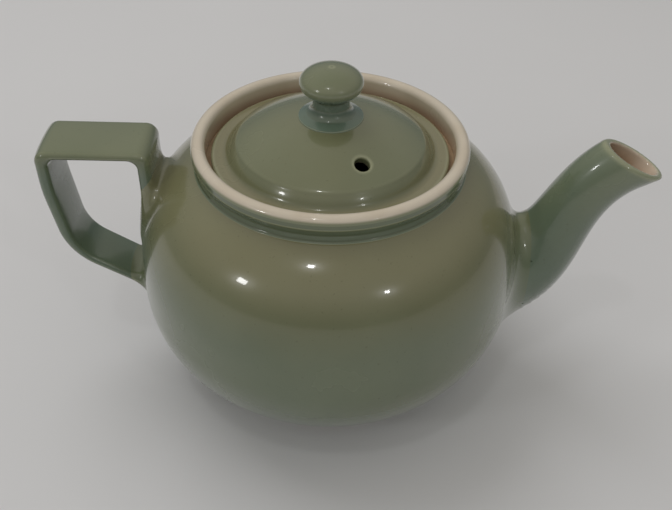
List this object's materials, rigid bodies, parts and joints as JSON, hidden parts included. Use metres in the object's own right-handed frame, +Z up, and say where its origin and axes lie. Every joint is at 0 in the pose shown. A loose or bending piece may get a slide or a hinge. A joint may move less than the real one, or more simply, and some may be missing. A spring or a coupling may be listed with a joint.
{
  "type": "teapot",
  "caption": "Round glazed teapot with squared strap handle, curved spout, cream rolled rim and a lift-off domed lid with a button knob.",
  "frame": {"origin": "on the surface the pot stands on, under the middle of the whole object's box from grip to spout; the turning axis of belly, foot and lid stands at x = -8.42 mm", "axes": "+Z up, parallel to the turning axis, +X towards the spout, -X towards the handle, Y across"},
  "size_m": [0.2272, 0.144, 0.1354],
  "materials": {
    "glaze_green": "glossy",
    "glaze_cream": "glossy",
    "foot_clay": "matte"
  },
  "bodies": {
    "pot": {"belly_shell": "glaze_green", "foot_ring": "foot_clay", "neck_collar": "glaze_green", "mouth_rim": "glaze_cream", "lid_seat": "glaze_cream", "spout": "glaze_green", "handle": "glaze_green"},
    "lid": {"lid_cover": "glaze_green", "lid_skirt": "glaze_cream", "lid_knob": "glaze_green"}
  },
  "joints": [
    {"name": "lid_lift", "type": "slide", "parent": "pot", "child": "lid", "axis": [0, 0, 1], "range_m": [0, 0.06]}
  ]
}
